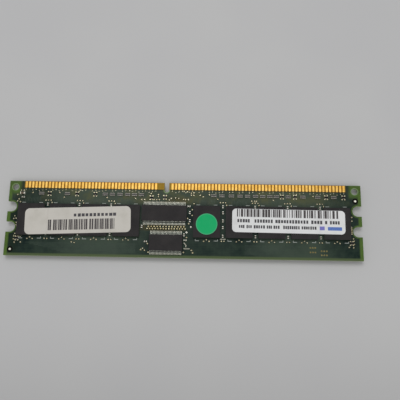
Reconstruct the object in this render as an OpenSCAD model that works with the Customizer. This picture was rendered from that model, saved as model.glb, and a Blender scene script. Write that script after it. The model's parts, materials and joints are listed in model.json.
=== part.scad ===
// Registered memory module with edge contacts, lying flat with its labelled side up.
// X runs along the board, +Y points to the contact edge and +Z is up.
// The origin is under the middle of the board, on the surface that the module lies on.
// Distances called "from the contact edge" are measured in -Y from that edge.

/* [Board] */
// Length of the board along X
board_length = 133.35; // [132.8:0.05:170]
// Height of the board, from the contact edge to the far edge
board_height = 28.58; // [28.2:0.02:36]
// Thickness of the bare laminate
board_thickness = 1.27; // [0.9:0.01:1.8]
// Thickness of the solder mask on each face
mask_thickness = 0.04; // [0.02:0.01:0.08]
// Bevel along the contact edge, on each face
edge_bevel = 0.12; // [0.05:0.01:0.2]
// Diameter of the two tooling holes
hole_diameter = 2.5; // [1.5:0.1:3]
// Distance of the tooling holes from the board's ends
hole_inset = 2.3; // [2:0.1:3]
// Distance of the tooling holes from the contact edge
hole_depth = 2.4; // [2:0.1:3]

/* [Key and notches] */
// X of the key notch, from the middle of the board
key_x = -6.62; // [-8:0.01:-5]
// Width of the key notch, which ends in a full round
key_width = 1.8; // [1:0.1:2.4]
// Depth of the key notch from the contact edge
key_depth = 3.8; // [2.8:0.1:4.1]
// Width of the latch notches in the ends, which end in a full round
latch_width = 4; // [2:0.1:5]
// Depth of the latch notches from the board's ends
latch_depth = 3.4; // [2.6:0.1:3.6]
// Distance of the upper latch notches from the contact edge
latch_upper = 10; // [9:0.1:11]
// Distance of the lower latch notches from the contact edge
latch_lower = 17.8; // [17:0.1:19]

/* [Edge contacts] */
// Distance from one contact to the next
contact_pitch = 1.27; // [1.04:0.01:1.27]
// Width of one contact
contact_width = 1; // [0.6:0.05:1]
// Length of one contact
contact_length = 2.4; // [1.8:0.1:2.5]
// Gap between the contacts and the board's edge
contact_inset = 0.18; // [0.15:0.01:0.4]
// Thickness of the plated contacts
contact_thickness = 0.04; // [0.02:0.01:0.08]
// Contacts in the long bank, to the right of the key
long_count = 52; // [10:1:52]
// Contacts in the short bank, to the left of the key
short_count = 40; // [10:1:40]
// From the key to the nearest contact of the long bank
long_start = 2.175; // [1.5:0.005:3]
// From the key to the nearest contact of the short bank
short_start = 4.175; // [1.5:0.005:5]
// Distance from the contact edge at which the solder mask begins
mask_start = 2.7; // [2.7:0.1:3.2]
// Width of bare laminate beyond the outermost contacts
mask_side = 0.3; // [0.1:0.05:0.6]

/* [Memory packages] */
// Width of a memory package along X
dram_width = 10; // [8:0.1:11]
// Length of a memory package across the board
dram_length = 12; // [11.6:0.1:13]
// Distance of the memory packages' centres from the contact edge
dram_row = 15; // [14:0.1:16]
// Distance from the board's end to the first package on the left
dram_left_margin = 4.275; // [3.8:0.005:4.4]
// Distance from the board's end to the last package on the right
dram_right_margin = 4.475; // [3.8:0.005:4.6]
// Spacing of the four packages on the left
dram_left_pitch = 12; // [11.9:0.01:12.1]
// Spacing of the five packages on the right
dram_right_pitch = 12.12; // [12:0.01:12.2]
// Height of a soldered ball
ball_height = 0.32; // [0.2:0.01:0.4]
// Largest diameter of a soldered ball
ball_diameter = 0.45; // [0.42:0.01:0.6]
// Diameter of the pads that a ball is soldered to
ball_foot = 0.34; // [0.3:0.01:0.4]
// Thickness of the package substrate
substrate_thickness = 0.22; // [0.15:0.01:0.4]
// Thickness of the moulded cap
cap_height = 0.56; // [0.45:0.01:0.9]
// Size of the silicon die in the cap
dram_die = [7.6, 10.2, 0.28];

/* [Leaded packages] */
// Length of the register's body along X
register_length = 17; // [16.2:0.1:17.1]
// Leads on each long side of the register
register_leads_side = 32; // [8:1:32]
// X of the register
register_x = -7.25; // [-7.3:0.01:-7.2]
// Distance of the register's centre from the contact edge
register_row = 11.85; // [11.8:0.01:12]
// Length of the clock driver's body along X
driver_length = 12.5; // [12.2:0.1:12.6]
// Leads on each long side of the clock driver
driver_leads_side = 24; // [8:1:24]
// X of the clock driver
driver_x = -6.4; // [-6.5:0.01:-6.3]
// Distance of the clock driver's centre from the contact edge
driver_row = 23; // [22.8:0.01:23.2]
// Width of the register's and the clock driver's body across the board
logic_width = 6.1; // [5:0.1:6.4]
// Spacing of their leads
logic_pitch = 0.5; // [0.4:0.01:0.5]
// Width of their leads
logic_lead = 0.22; // [0.15:0.01:0.26]
// Size of the settings memory's body
eeprom_size = [3, 4.4];
// Spacing of its leads
eeprom_pitch = 0.65; // [0.5:0.01:0.7]
// Width of its leads
eeprom_lead = 0.25; // [0.2:0.01:0.3]
// Leads on each side of it
eeprom_leads_side = 4; // [2:1:4]
// Height of a moulded body
body_height = 0.95; // [0.8:0.01:1.2]
// Gap under a moulded body
standoff = 0.1; // [0.05:0.01:0.15]
// Slope of a moulded body's sides, taken off at the top and bottom
body_draft = 0.08; // [0.04:0.01:0.15]
// Reach of a lead beyond the body
lead_reach = 1; // [0.9:0.01:1.1]
// Length of a lead held inside the body
lead_embed = 0.45; // [0.2:0.01:0.6]
// Thickness of a lead
lead_thickness = 0.13; // [0.1:0.01:0.15]
// Straight shoulder of a lead before its first bend
lead_shoulder = 0.22; // [0.1:0.01:0.24]
// Bend radius of a lead along its middle
lead_bend = 0.17; // [0.12:0.01:0.18]

/* [Small parts] */
// Length, width and height of a small capacitor
small_cap = [1, 0.5, 0.5];
// Length, width and height of the large filter capacitor
large_cap = [1.6, 0.8, 0.7];
// Length of the metal band on a capacitor's end
cap_band = 0.25; // [0.15:0.01:0.35]
// Spacing of the resistors in a network
network_pitch = 0.5; // [0.4:0.01:0.5]
// Size of a network across the board
network_depth = 1; // [0.8:0.05:1.2]
// Height of a network
network_height = 0.45; // [0.35:0.01:0.6]
// Width of one network terminal
network_terminal = 0.3; // [0.2:0.01:0.34]
// Length of a network terminal's band over the body
network_band = 0.2; // [0.1:0.01:0.3]
// Distance of the row of networks from the contact edge
network_row = 4.85; // [4.7:0.01:5.2]
// Thickness of the plating on every end band
plating = 0.03; // [0.02:0.01:0.05]

/* [Labels] */
// Thickness of the labels
label_thickness = 0.1; // [0.05:0.01:0.2]
// Length of the serial label
serial_length = 39.7; // [30:0.1:42]
// Width of the serial label
serial_width = 9.9; // [6:0.1:11]
// Corner radius of the serial label
serial_corner = 1.8; // [0.5:0.1:2.5]
// Turn of the serial label as it was stuck on, in degrees
serial_turn = 2.2; // [0:0.1:3]
// Length of the part label
part_length = 41.9; // [30:0.1:44]
// Width of the part label
part_width = 8.9; // [6:0.1:11]
// Corner radius of the part label
part_corner = 1.5; // [0.5:0.1:2.5]
// Turn of the part label as it was stuck on, in degrees
part_turn = -0.45; // [-2:0.05:2]
// Diameter of the round sticker
sticker_diameter = 8; // [5:0.1:9]

/* [Hidden] */
$fn = 48;
// How far a cutter reaches past the face that it opens
past = 1;
left_end = -board_length / 2;
right_end = board_length / 2;
dram_height = ball_height + substrate_thickness + cap_height;
logic_height = standoff + body_height;
// The module lies on whichever of its back packages stand highest
back_face = max(dram_height, logic_height);
board_z = back_face + mask_thickness;
board_top = board_z + board_thickness;
front_face = board_top + mask_thickness;
cap_z = ball_height + substrate_thickness;
lead_middle = standoff + body_height / 2;
lead_slope = 80;

// Memory packages, numbered from left to right
left_count = 4;
right_count = 5;
first_x = left_end + dram_left_margin + dram_width / 2;
last_x = right_end - dram_right_margin - dram_width / 2;
dram_x = concat([for (i = [0 : left_count - 1]) first_x + i * dram_left_pitch],
                [for (i = [right_count - 1 : -1 : 0]) last_x - i * dram_right_pitch]);
// Middles of the gaps between neighbouring packages
gap_x = [for (i = [0 : len(dram_x) - 2]) if (i != left_count - 1) (dram_x[i] + dram_x[i + 1]) / 2];

// Ball grid: rows run across the package, and the middle columns are left free for the bond slot
ball_pitch_x = 0.8;
ball_pitch_y = 1;
ball_rows = 12;
wide_rows = 6;
function ball_columns(row) = row < wide_rows ? [-4, -3, -2, 2, 3, 4] : [-3, -2, 2, 3];
slot_size = [0.9, 9.6];
resin_size = [1.6, 10.4, 0.12];
mark_inset = 1;
mark_diameter = 0.7;
mark_depth = 0.05;

// Dies and paddles inside the leaded packages, as length, width and thickness
paddle_thickness = 0.12;
die_thickness = 0.25;
paddle_border = 0.25;
register_die = [4.2, 2.6];
driver_die = [3.4, 2.4];
eeprom_die = [1.3, 1.5];

// Networks in the row beside the contacts, by X, as four resistors or two
four_networks = [-54.15, -44.3, -29.9, -27.2, -24.3, -21.4, -18.8, -16.2,
                 11.3, 14.3, 17.9, 21.2, 24, 27, 29.7, 32.4, 34.8, 39.3, 44.8, 50.4, 56.4];
two_networks = [-51.2, -40.7, -33.75, 37, 41.9, 53.6, 60.1];
// Pairs away from that row, as X and distance from the contact edge
corner_inset = 4.45;
spare_pairs = [[left_end + corner_inset, 22.1], [right_end - corner_inset + 0.3, 22.1],
               [-12.3, 5.9], [-7.2, 5.7]];

// Small capacitors in each gap between packages, by distance from the contact edge
gap_rows = [dram_row - 5.95, dram_row - 3.6, dram_row - 0.5, dram_row + 2, dram_row + 5.3];
register_end = register_x + register_length / 2;
driver_end = driver_x + driver_length / 2;
driver_start = driver_x - driver_length / 2;
// Single capacitors on the front, as X, distance from the contact edge and turn
front_caps = [[register_end + 0.75, 9.1, 0], [register_end + 1.1, 11.5, 90], [register_end + 1.15, 14.6, 90],
              [driver_end + 0.5, 20, 90], [driver_end + 0.95, 22, 0], [driver_start - 1.25, 22.65, 0],
              [register_x - register_length / 2 + 0.2, 17, 90], [left_end + 5.6, 6.4, 0]];
// The same on the back
back_caps = [[register_end + 0.75, 9.1, 0], [register_end + 1.1, 11.5, 90], [register_end + 1.15, 14.6, 90],
             [driver_x - 3.6, 22.2, 90], [driver_x - 3.6, 24.2, 90], [driver_x + 3.6, 22.2, 90]];
filter_place = [left_end + 5.25, 4.85];

// Bare fiducial dots and the rings that the mask leaves open round them
fiducial_diameter = 1;
fiducial_ring = 1.9;
fiducials = [[left_end + 2.25, 26.3], [right_end - 2.2, 6.1]];
// Two unused pad grids, as X, distance from the contact edge, pitch and row spacing
pad_size = [0.46, 0.46];
pad_gap = 0.06;
pad_grids = [[48.1, 24.85, 0.9, 1.7], [52.25, 25.95, 0.95, 1.5]];
// Ends of the strip of bare laminate that holds the contacts
bank_left = key_x - short_start - (short_count - 1) * contact_pitch - contact_width / 2 - mask_side;
bank_right = key_x + long_start + (long_count - 1) * contact_pitch + contact_width / 2 + mask_side;
// Ring round a tooling hole, and strip round the key, that the mask leaves open
hole_ring = 0.25;
key_ring = 0.35;

// Y of a point at this distance from the contact edge
function edge_y(distance) = board_height / 2 - distance;

// Places children on the mask, with their own +Z pointing away from the board
module on_front(x, distance) translate([x, edge_y(distance), front_face]) children();
module on_back(x, distance) translate([x, edge_y(distance), back_face]) rotate([180, 0, 0]) children();
module on_face(back, x, distance) {
    if (back) on_back(x, distance) children();
    else on_front(x, distance) children();
}

// A box centred on Z, standing on height z
module block(size, z = 0) translate([0, 0, z + size[2] / 2]) cube(size, center = true);

// Flat outlines
module key_outline(border) {
    translate([key_x, edge_y(key_depth - key_width / 2)]) circle(d = key_width + 2 * border);
    translate([key_x - key_width / 2 - border, edge_y(key_depth - key_width / 2)])
        square([key_width + 2 * border, key_depth + past]);
}

module latch_outline() {
    reach = latch_depth - latch_width / 2;
    for (side = [-1, 1], row = [latch_upper, latch_lower])
        translate([side * board_length / 2, edge_y(row)]) {
            translate([-side * reach, 0]) circle(d = latch_width);
            square([2 * reach, latch_width], center = true);
        }
}

module hole_outlines(diameter) {
    for (side = [-1, 1])
        translate([side * (board_length / 2 - hole_inset), edge_y(hole_depth)]) circle(d = diameter);
}

module board_outline() {
    difference() {
        square([board_length, board_height], center = true);
        key_outline(0);
        latch_outline();
        hole_outlines(hole_diameter);
    }
}

module pad_outlines(size) {
    for (grid = pad_grids, column = [-1, 0, 1], row = [-1, 1])
        translate([grid[0] + column * grid[2], edge_y(grid[1] + row * grid[3] / 2)])
            square(size, center = true);
}

module rounded_outline(length, width, radius) {
    square([length - 2 * radius, width], center = true);
    square([length, width - 2 * radius], center = true);
    for (x = [-1, 1], y = [-1, 1])
        translate([x * (length / 2 - radius), y * (width / 2 - radius)]) circle(r = radius);
}

// Board, mask and contacts
module circuit_board() {
    color("darkolivegreen") difference() {
        translate([0, 0, board_z]) linear_extrude(board_thickness) board_outline();
        for (z = [board_z, board_top])
            translate([0, board_height / 2, z]) rotate([45, 0, 0])
                cube([board_length + past, edge_bevel * sqrt(2), edge_bevel * sqrt(2)], center = true);
    }
}

module mask_outline(back) {
    difference() {
        board_outline();
        translate([bank_left, edge_y(mask_start)]) square([bank_right - bank_left, mask_start + past]);
        translate([left_end - past, edge_y(edge_bevel)]) square([board_length + 2 * past, edge_bevel + past]);
        key_outline(key_ring);
        hole_outlines(hole_diameter + 2 * hole_ring);
        for (place = fiducials) translate([place[0], edge_y(place[1])]) circle(d = fiducial_ring);
        if (!back) pad_outlines(pad_size + [2 * pad_gap, 2 * pad_gap]);
    }
}

module solder_mask(back) {
    color("darkgreen") translate([0, 0, back ? back_face : board_top])
        linear_extrude(mask_thickness) mask_outline(back);
}

// One bank of contacts, counted away from the key in the given direction
module contact_bank(back, start, count, direction) {
    color("gold") for (i = [0 : count - 1])
        translate([key_x + direction * (start + i * contact_pitch) - contact_width / 2,
                   edge_y(contact_inset + contact_length),
                   back ? board_z - contact_thickness : board_top])
            cube([contact_width, contact_length, contact_thickness]);
}

module fiducial_dots() {
    color("silver") for (place = fiducials, z = [back_face, board_top])
        translate([place[0], edge_y(place[1]), z]) cylinder(d = fiducial_diameter, h = mask_thickness);
}

module empty_pads() {
    color("silver") translate([0, 0, board_top]) linear_extrude(mask_thickness) pad_outlines(pad_size);
}

// Memory package, from the mask up: balls, bond-slot resin, substrate, die and moulded cap
module dram_cap(back, index) {
    color("#2b2a2b") on_face(back, dram_x[index - 1], dram_row) difference() {
        block([dram_width, dram_length, cap_height], cap_z);
        block([dram_die[0], dram_die[1], dram_die[2] + past], cap_z - past);
        translate([mark_inset - dram_width / 2, dram_length / 2 - mark_inset, dram_height - mark_depth])
            cylinder(d = mark_diameter, h = past);
    }
}

module dram_substrates(back) {
    color("#3c5a30") for (x = dram_x) on_face(back, x, dram_row) difference() {
        block([dram_width, dram_length, substrate_thickness], ball_height);
        block([slot_size[0], slot_size[1], substrate_thickness + 2 * past], ball_height - past);
    }
}

module dram_dies(back) {
    color("slategray") for (x = dram_x) on_face(back, x, dram_row) block(dram_die, cap_z);
}

module slot_resin(back) {
    color("#1d1d1d") for (x = dram_x) on_face(back, x, dram_row) {
        block([slot_size[0], slot_size[1], substrate_thickness], ball_height);
        block(resin_size, ball_height - resin_size[2]);
    }
}

module solder_ball() {
    waist = ball_diameter / 2;
    rotate_extrude() polygon([[0, 0], [ball_foot / 2, 0], [waist, ball_height / 2],
                              [ball_foot / 2, ball_height], [0, ball_height]]);
}

module solder_balls(back) {
    color("silver") for (x = dram_x) on_face(back, x, dram_row)
        for (row = [0 : ball_rows - 1], column = ball_columns(row))
            translate([column * ball_pitch_x, ((ball_rows - 1) / 2 - row) * ball_pitch_y, 0]) solder_ball();
}

// Leaded packages: a drafted body with leads of one gull-wing shape along both long sides
function arc(middle, radius, from, to, steps = 4) =
    [for (i = [0 : steps]) let (a = from + (to - from) * i / steps) middle + radius * [cos(a), sin(a)]];

// Side outline of a lead, from inside the body to the tip of its foot
function lead_outline(width) =
    let (half = lead_thickness / 2,
         knee = [width / 2 + lead_shoulder, lead_middle - lead_bend],
         drop = (lead_middle - half - 2 * lead_bend * (1 - cos(lead_slope))) / sin(lead_slope),
         ankle = [knee[0] + 2 * lead_bend * sin(lead_slope) + drop * cos(lead_slope), half + lead_bend],
         inner = width / 2 - lead_embed,
         tip = width / 2 + lead_reach)
    concat([[inner, lead_middle + half]],
           arc(knee, lead_bend + half, 90, 90 - lead_slope),
           arc(ankle, lead_bend - half, 270 - lead_slope, 270),
           [[tip, lead_thickness], [tip, 0]],
           arc(ankle, lead_bend + half, 270, 270 - lead_slope),
           arc(knee, lead_bend - half, 90 - lead_slope, 90),
           [[inner, lead_middle - half]]);

module lead_places(count, pitch) {
    for (turn = [0, 180], i = [0 : count - 1])
        rotate([0, 0, turn]) translate([(i - (count - 1) / 2) * pitch, 0, 0]) children();
}

module leads(width, count, pitch, lead) {
    color("silver") lead_places(count, pitch)
        rotate([90, 0, 90]) translate([0, 0, -lead / 2]) linear_extrude(lead) polygon(lead_outline(width));
}

// Profile of a moulded body, widest where the leads come out
module drafted_profile(width) {
    half = width / 2;
    polygon([[-half, lead_middle], [body_draft - half, logic_height], [half - body_draft, logic_height],
             [half, lead_middle], [half - body_draft, standoff], [body_draft - half, standoff]]);
}

module drafted_block(length, width) {
    intersection() {
        rotate([90, 0, 90]) translate([0, 0, -length]) linear_extrude(2 * length) drafted_profile(width);
        rotate([90, 0, 0]) translate([0, 0, -width]) linear_extrude(2 * width) drafted_profile(length);
    }
}

module die_stack(die, part) {
    paddle = [die[0] + 2 * paddle_border, die[1] + 2 * paddle_border, paddle_thickness];
    if (part != "die") block(paddle, lead_middle - lead_thickness / 2 - paddle_thickness);
    if (part != "paddle") block([die[0], die[1], die_thickness], lead_middle - lead_thickness / 2);
}

module leaded_body(length, width, count, pitch, lead, die) {
    color("#302d2d") difference() {
        drafted_block(length, width);
        die_stack(die, "both");
        lead_places(count, pitch) translate([0, width / 2 - lead_embed + past / 2, 0])
            block([lead, past, lead_thickness], lead_middle - lead_thickness / 2);
        translate([mark_inset - length / 2, mark_inset - width / 2, logic_height - mark_depth])
            cylinder(d = mark_diameter, h = past);
    }
}

module register_body() {
    leaded_body(register_length, logic_width, register_leads_side, logic_pitch, logic_lead, register_die);
}
module register_leads() leads(logic_width, register_leads_side, logic_pitch, logic_lead);
module driver_body() {
    leaded_body(driver_length, logic_width, driver_leads_side, logic_pitch, logic_lead, driver_die);
}
module driver_leads() leads(logic_width, driver_leads_side, logic_pitch, logic_lead);
module eeprom_body() {
    leaded_body(eeprom_size[0], eeprom_size[1], eeprom_leads_side, eeprom_pitch, eeprom_lead, eeprom_die);
}
module eeprom_leads() leads(eeprom_size[1], eeprom_leads_side, eeprom_pitch, eeprom_lead);

module all_stacks(part) {
    on_front(register_x, register_row) die_stack(register_die, part);
    on_back(register_x, register_row) die_stack(register_die, part);
    on_front(driver_x, driver_row) die_stack(driver_die, part);
    on_back(driver_x, driver_row) die_stack(eeprom_die, part);
}

module logic_dies() color("slategray") all_stacks("die");
module die_paddles() color("peru") all_stacks("paddle");

// Resistor networks: one ceramic body with a terminal at both ends of each resistor
module network_body(count) {
    block([count * network_pitch, network_depth - 2 * plating, network_height - 2 * plating], plating);
}

module network_terminals(count) {
    for (side = [-1, 1], i = [0 : count - 1]) difference() {
        translate([(i - (count - 1) / 2) * network_pitch, side * (network_depth - network_band) / 2, 0])
            block([network_terminal, network_band, network_height]);
        network_body(count);
    }
}

module network_bodies(back) {
    color("dimgray") {
        for (x = four_networks) on_face(back, x, network_row) network_body(4);
        for (x = two_networks) on_face(back, x, network_row) network_body(2);
        for (place = spare_pairs) on_face(back, place[0], place[1]) network_body(2);
    }
}

module network_ends(back) {
    color("silver") {
        for (x = four_networks) on_face(back, x, network_row) network_terminals(4);
        for (x = two_networks) on_face(back, x, network_row) network_terminals(2);
        for (place = spare_pairs) on_face(back, place[0], place[1]) network_terminals(2);
    }
}

// Capacitors: a ceramic body with a plated band round each end
module cap_body(size) {
    block([size[0] - 2 * plating, size[1] - 2 * plating, size[2] - 2 * plating], plating);
}

module cap_bands(size) {
    for (side = [-1, 1]) difference() {
        translate([side * (size[0] - cap_band) / 2, 0, 0]) block([cap_band, size[1], size[2]]);
        cap_body(size);
    }
}

// Places children at every small capacitor of one face
module cap_places(back) {
    for (x = gap_x, row = gap_rows) on_face(back, x, row) rotate([0, 0, 90]) children();
    for (place = back ? back_caps : front_caps)
        on_face(back, place[0], place[1]) rotate([0, 0, place[2]]) children();
}

module capacitors(back) color("tan") cap_places(back) cap_body(small_cap);
module capacitor_bands(back) color("silver") cap_places(back) cap_bands(small_cap);
module filter_capacitor() color("tan") on_front(filter_place[0], filter_place[1]) cap_body(large_cap);
module filter_capacitor_bands() {
    color("silver") on_front(filter_place[0], filter_place[1]) cap_bands(large_cap);
}

// Labels, stuck across the tops of the front memory packages
label_row = dram_row + 0.2;
serial_x = (dram_x[0] + dram_x[3]) / 2 - 0.1;
part_x = (dram_x[5] + dram_x[8]) / 2 + 0.15;

module on_packages(x, distance) on_front(x, distance) translate([0, 0, dram_height]) children();

module serial_label() {
    color("lightgray") on_packages(serial_x, label_row) rotate([0, 0, serial_turn])
        linear_extrude(label_thickness) rounded_outline(serial_length, serial_width, serial_corner);
}

module part_label() {
    color("white") on_packages(part_x, label_row - 0.75) rotate([0, 0, part_turn])
        linear_extrude(label_thickness) rounded_outline(part_length, part_width, part_corner);
}

module round_sticker() {
    color("mediumseagreen") on_packages(dram_x[4], label_row + 0.7)
        cylinder(d = sticker_diameter, h = label_thickness);
}

circuit_board();
solder_mask(false);  // solder_mask_front
solder_mask(true);  // solder_mask_back
contact_bank(false, long_start, long_count, 1);  // contacts_front_long
contact_bank(false, short_start, short_count, -1);  // contacts_front_short
contact_bank(true, long_start, long_count, 1);  // contacts_back_long
contact_bank(true, short_start, short_count, -1);  // contacts_back_short
fiducial_dots();
empty_pads();
for (i = [1 : len(dram_x)]) {
    dram_cap(false, i);
    dram_cap(true, i);
}
dram_substrates(false);  // dram_substrates_front
dram_substrates(true);  // dram_substrates_back
dram_dies(false);  // dram_dies_front
dram_dies(true);  // dram_dies_back
slot_resin(false);  // slot_resin_front
slot_resin(true);  // slot_resin_back
solder_balls(false);  // solder_balls_front
solder_balls(true);  // solder_balls_back
on_front(register_x, register_row) register_body();  // register_front
on_front(register_x, register_row) register_leads();  // register_front_leads
on_back(register_x, register_row) register_body();  // register_back
on_back(register_x, register_row) register_leads();  // register_back_leads
on_front(driver_x, driver_row) driver_body();  // clock_driver
on_front(driver_x, driver_row) driver_leads();  // clock_driver_leads
on_back(driver_x, driver_row) eeprom_body();  // settings_memory
on_back(driver_x, driver_row) eeprom_leads();  // settings_memory_leads
logic_dies();
die_paddles();
network_bodies(false);  // resistor_networks_front
network_bodies(true);  // resistor_networks_back
network_ends(false);  // network_terminals_front
network_ends(true);  // network_terminals_back
capacitors(false);  // capacitors_front
capacitors(true);  // capacitors_back
capacitor_bands(false);  // capacitor_bands_front
capacitor_bands(true);  // capacitor_bands_back
filter_capacitor();
filter_capacitor_bands();
serial_label();
part_label();
round_sticker();
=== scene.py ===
"""Looks of the memory module: materials for the CAD parts, and the fine detail that the CAD leaves out."""
import json
import math
import random

import bmesh
import bpy
from mathutils import Matrix, Vector


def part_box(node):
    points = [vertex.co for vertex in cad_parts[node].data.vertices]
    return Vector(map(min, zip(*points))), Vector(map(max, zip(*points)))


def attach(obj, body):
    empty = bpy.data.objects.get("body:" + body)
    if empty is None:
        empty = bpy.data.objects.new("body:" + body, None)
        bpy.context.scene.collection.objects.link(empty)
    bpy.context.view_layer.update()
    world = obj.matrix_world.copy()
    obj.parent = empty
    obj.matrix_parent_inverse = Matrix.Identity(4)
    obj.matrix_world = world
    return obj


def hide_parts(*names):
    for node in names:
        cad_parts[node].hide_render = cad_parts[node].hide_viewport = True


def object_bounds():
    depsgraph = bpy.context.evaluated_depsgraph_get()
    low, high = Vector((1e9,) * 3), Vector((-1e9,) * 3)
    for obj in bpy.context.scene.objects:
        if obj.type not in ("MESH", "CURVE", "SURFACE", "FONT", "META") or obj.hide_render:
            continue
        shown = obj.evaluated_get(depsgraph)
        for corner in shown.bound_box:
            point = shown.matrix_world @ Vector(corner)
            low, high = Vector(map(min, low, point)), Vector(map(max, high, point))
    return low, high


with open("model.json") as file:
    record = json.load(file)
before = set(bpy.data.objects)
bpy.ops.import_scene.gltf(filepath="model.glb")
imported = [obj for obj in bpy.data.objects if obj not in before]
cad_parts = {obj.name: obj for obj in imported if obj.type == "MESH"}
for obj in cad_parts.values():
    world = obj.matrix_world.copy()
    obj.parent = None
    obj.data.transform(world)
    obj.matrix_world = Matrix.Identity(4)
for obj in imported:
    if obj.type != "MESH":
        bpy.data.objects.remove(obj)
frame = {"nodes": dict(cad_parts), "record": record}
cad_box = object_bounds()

MM = 0.001
NODES = frame["nodes"]
BOARD_LOW, BOARD_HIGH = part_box("circuit_board")
EDGE_Y = BOARD_HIGH.y
HALF_LENGTH = BOARD_HIGH.x / MM
FRONT_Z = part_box("solder_mask_front")[1].z
BACK_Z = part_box("solder_mask_back")[0].z
CHIP_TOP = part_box("dram_front_1")[1].z
CHIP_COUNT = 9
REGISTER_GAP = 4.0  # a gap between two packages that is wider than this holds the register
LONG_NETWORK = 1.5  # a resistor network longer than this is one of the long ones
COVERED = (-0.005, 0.012)  # how a trace under the mask stands, from and to, off the mask
COATED = (-0.01, 0.03)  # the same for bare copper that carries solder
TRACE_SHOULDER = 0.3  # the share of a trace's width that slopes
random.seed(184)


# ---------------------------------------------------------------- places on the board

def place(x, depth, height, back=False):
    """A point from millimetres: x along the board, depth from the contact edge, height off the mask."""
    z = BACK_Z - height * MM if back else FRONT_Z + height * MM
    return Vector((x * MM, EDGE_Y - depth * MM, z))


def flat(low, high):
    """A box in metres as x from and to, and depth from the contact edge from and to, in millimetres."""
    return low.x / MM, high.x / MM, (EDGE_Y - high.y) / MM, (EDGE_Y - low.y) / MM


def extent(node):
    """The same for the box of a CAD node."""
    return flat(*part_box(node))


def middle(node):
    x0, x1, d0, d1 = extent(node)
    return (x0 + x1) / 2, (d0 + d1) / 2


CHIPS = [extent(f"dram_front_{i}") for i in range(1, CHIP_COUNT + 1)]
CHIP_X = [(chip[0] + chip[1]) / 2 for chip in CHIPS]
GAP_X = [(a[1] + b[0]) / 2 for a, b in zip(CHIPS, CHIPS[1:]) if b[0] - a[1] < REGISTER_GAP]
ROW_TOP, ROW_BOTTOM = CHIPS[0][2], CHIPS[0][3]


def islands(node):
    """The box of each separate solid of a CAD node, in metres."""
    mesh = NODES[node].data
    grid = MM * 0.0005
    parent = list(range(len(mesh.vertices)))

    def root(i):
        while parent[i] != i:
            parent[i] = parent[parent[i]]
            i = parent[i]
        return i

    at = {}
    for v in mesh.vertices:
        key = tuple(round(c / grid) for c in v.co)
        parent[v.index] = root(at.setdefault(key, v.index))
    for e in mesh.edges:
        parent[root(e.vertices[0])] = root(e.vertices[1])
    groups = {}
    for v in mesh.vertices:
        groups.setdefault(root(v.index), []).append(v.co)
    boxes = []
    for points in groups.values():
        low = Vector([min(p[k] for p in points) for k in range(3)])
        high = Vector([max(p[k] for p in points) for k in range(3)])
        boxes.append((low, high))
    return boxes


def flat_islands(node):
    """What extent gives, for each separate solid of a CAD node."""
    return [flat(low, high) for low, high in islands(node)]


def contact_centres(node):
    """Where along the board each contact of a bank is, in millimetres."""
    return sorted((low.x + high.x) / 2 / MM for low, high in islands(node))


# ---------------------------------------------------------------- mesh building

def unit_circle(sides):
    """The cosine and sine of each of the evenly spaced turns."""
    angles = [2 * math.pi * k / sides for k in range(sides)]
    return [(math.cos(a), math.sin(a)) for a in angles]


def face_loop(bm, rings, closed_ends=True):
    """Skins a list of equal rings of points into one closed surface."""
    rows = [[bm.verts.new(p) for p in ring] for ring in rings]
    count = len(rows[0])
    for a, b in zip(rows, rows[1:]):
        for i in range(count):
            j = (i + 1) % count
            bm.faces.new((a[i], a[j], b[j], b[i]))
    if closed_ends:
        bm.faces.new(rows[0][::-1])
        bm.faces.new(rows[-1])


def prism(bm, outline, low, high, back=False, inset=0.0):
    """A thin solid over an outline of (x, depth) points, drawn in by inset at its outer face."""
    cx = sum(p[0] for p in outline) / len(outline)
    cd = sum(p[1] for p in outline) / len(outline)

    def ring(height, pull):
        points = []
        for x, d in outline:
            away = math.hypot(x - cx, d - cd) or 1.0
            k = 1 - pull / away
            points.append(place(cx + (x - cx) * k, cd + (d - cd) * k, height, back))
        return points

    face_loop(bm, [ring(low, 0.0), ring(high, inset)])


def box_outline(x0, x1, d0, d1):
    return [(x0, d0), (x1, d0), (x1, d1), (x0, d1)]


def ring_solid(bm, x, depth, outer, inner, high, back=False, sides=14):
    """A raised ring such as a via's land, with a hole that dips back to the mask."""
    crest, throat, dip = outer * 0.86, inner * 1.2, high * 0.2
    profile = [(outer, 0.0), (crest, high), (throat, high), (inner, dip), (inner, 0.0)]
    rings = [[place(x + r * cos, depth + r * sin, h, back) for r, h in profile]
             for cos, sin in unit_circle(sides)]
    face_loop(bm, rings + [rings[0]], closed_ends=False)


def ribbon(bm, points, width, low, high, back=False):
    """A trace: a strip with sloped sides that follows (x, depth) points."""
    top = 0.5 - TRACE_SHOULDER / 2
    rings = []
    for i, (x, d) in enumerate(points):
        ahead = Vector(points[min(i + 1, len(points) - 1)]) - Vector(points[i])
        behind = Vector(points[i]) - Vector(points[max(i - 1, 0)])
        along = (ahead.normalized() + behind.normalized()).normalized()
        side = Vector((-along.y, along.x))
        if ahead.length and behind.length:
            side /= max(0.5, side.dot(Vector((-ahead.y, ahead.x)).normalized()))
        ring = []
        for reach, height in ((-0.5, low), (-top, high), (top, high), (0.5, low)):
            ring.append(place(x + side.x * width * reach, d + side.y * width * reach, height, back))
        rings.append(ring)
    face_loop(bm, rings)


def to_object(bm, name, material):
    """Turns a bmesh into an object of the scene."""
    mesh = bpy.data.meshes.new(name)
    bm.to_mesh(mesh)
    bm.free()
    made = bpy.data.objects.new(name, mesh)
    bpy.context.scene.collection.objects.link(made)
    mesh.materials.append(material)
    return made


def finish_piece(bm, name, material, smooth=False):
    """Turns a bmesh into a piece of the module that rides on its one body."""
    bmesh.ops.remove_doubles(bm, verts=bm.verts, dist=MM * 0.00005)
    bmesh.ops.recalc_face_normals(bm, faces=bm.faces)
    piece = to_object(bm, name, material)
    if smooth:
        for p in piece.data.polygons:
            p.use_smooth = True
    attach(piece, "root")
    return piece


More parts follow.
